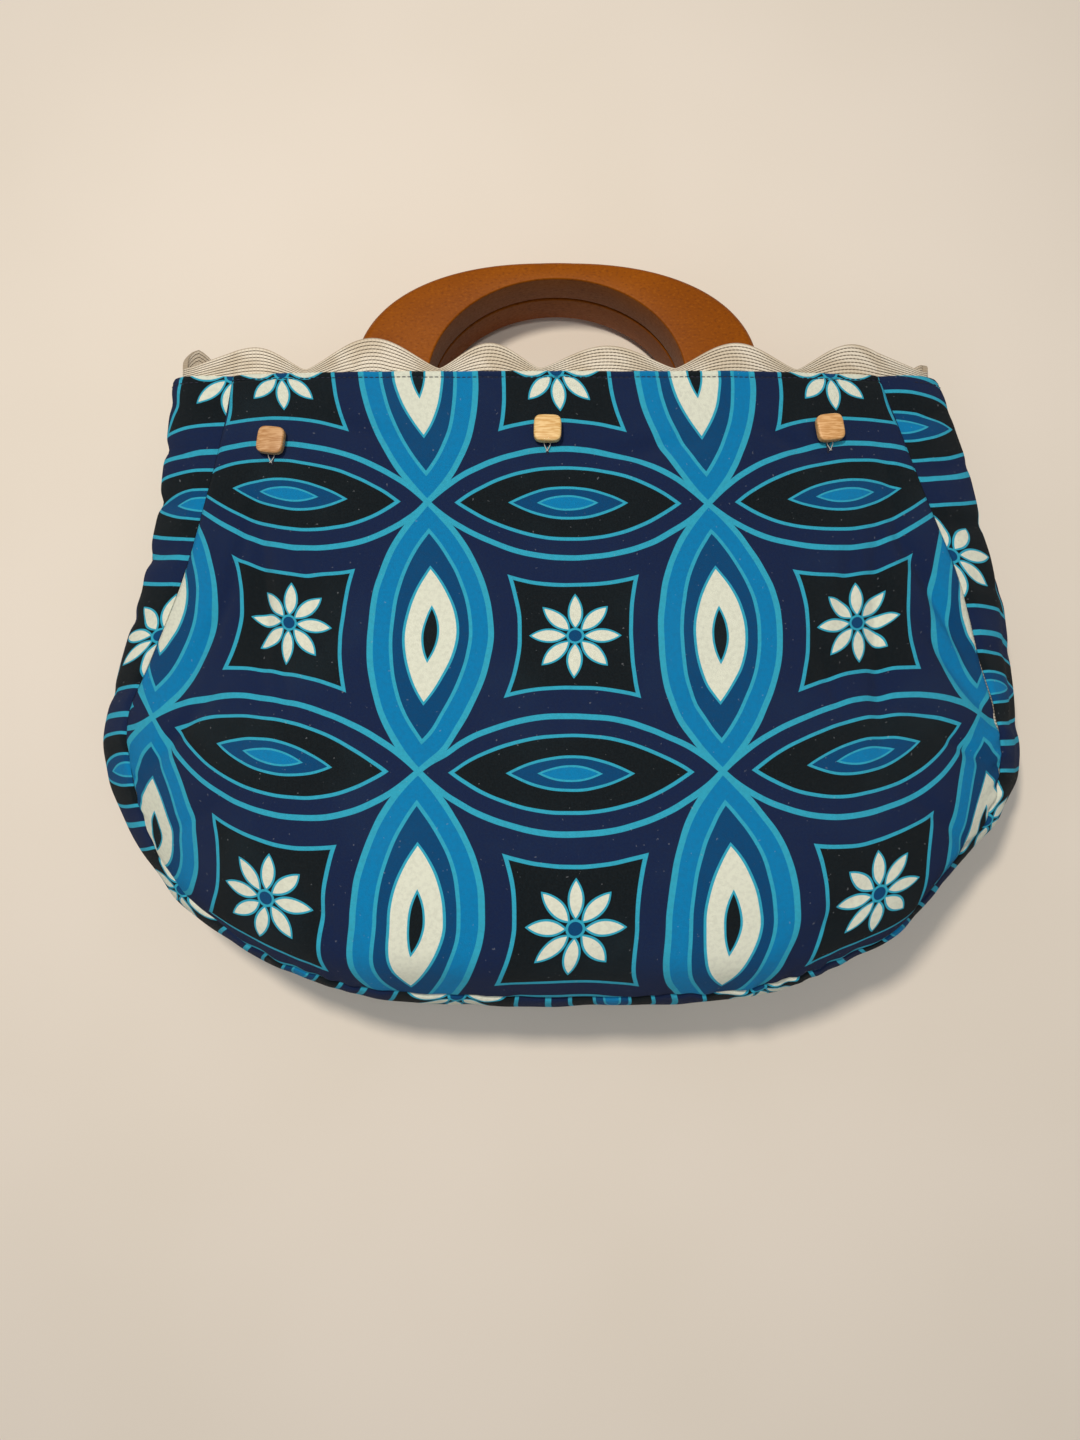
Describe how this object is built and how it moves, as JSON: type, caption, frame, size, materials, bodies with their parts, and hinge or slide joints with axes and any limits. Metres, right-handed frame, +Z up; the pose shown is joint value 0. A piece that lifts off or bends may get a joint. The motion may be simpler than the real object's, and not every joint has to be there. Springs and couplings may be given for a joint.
{
  "type": "wooden handle bag",
  "caption": "Handbag lying on its back: printed cotton cover buttoned over a scalloped sewn-braid bag, with wooden arch handles at its mouth.",
  "frame": {"origin": "on the floor under the middle of the bag, which lies on its back panel", "axes": "+X across the bag to the right of someone who faces its front, +Y from its bottom to its mouth and handles, +Z up from the back panel to the front panel"},
  "size_m": [0.3726, 0.301, 0.0842],
  "materials": {
    "straw_braid": "ribbed sewn braid",
    "printed_cotton": "matt printed plain weave",
    "handle_wood": "semi-gloss varnish",
    "button_wood": "satin, pale",
    "shank_thread": "cotton thread"
  },
  "bodies": {
    "root": {"base_bag": "straw_braid", "cover_front": "printed_cotton", "cover_gusset": "printed_cotton", "cover_back": "printed_cotton", "handle_front": "handle_wood", "handle_back": "handle_wood", "handle_pin_front_left": "handle_wood", "handle_pin_front_right": "handle_wood", "handle_pin_back_left": "handle_wood", "handle_pin_back_right": "handle_wood", "button_left": "button_wood", "button_middle": "button_wood", "button_right": "button_wood", "button_shank_left": "shank_thread", "button_shank_middle": "shank_thread", "button_shank_right": "shank_thread"}
  },
  "joints": []
}
